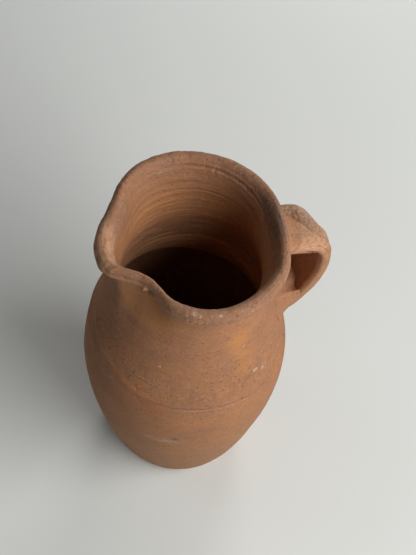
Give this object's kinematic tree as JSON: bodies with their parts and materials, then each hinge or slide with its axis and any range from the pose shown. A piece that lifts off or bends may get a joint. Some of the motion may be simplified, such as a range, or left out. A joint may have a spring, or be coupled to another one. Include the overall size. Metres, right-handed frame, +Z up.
{
  "type": "ceramic pitcher",
  "caption": "Unglazed terracotta pitcher with an ovoid body, rolled lip, pinched spout and a strap handle.",
  "frame": {"origin": "centre of the flat foot, on the plane the pitcher stands on", "axes": "+Z up along the body's axis, +X towards the handle; the spout points towards -X"},
  "size_m": [0.1524, 0.1374, 0.248],
  "materials": {
    "terracotta_body": "matt fired earthenware",
    "terracotta_neck": "matt fired earthenware, scuffed on the lip",
    "terracotta_strap": "matt fired earthenware",
    "terracotta_luting": "matt fired earthenware, smeared",
    "terracotta_rough": "rough matt fired earthenware"
  },
  "bodies": {
    "root": {"lower_body": "terracotta_body", "neck_section": "terracotta_neck", "handle_strap": "terracotta_strap", "upper_luting": "terracotta_luting", "lower_luting": "terracotta_luting", "thumb_pad": "terracotta_rough"}
  },
  "joints": []
}
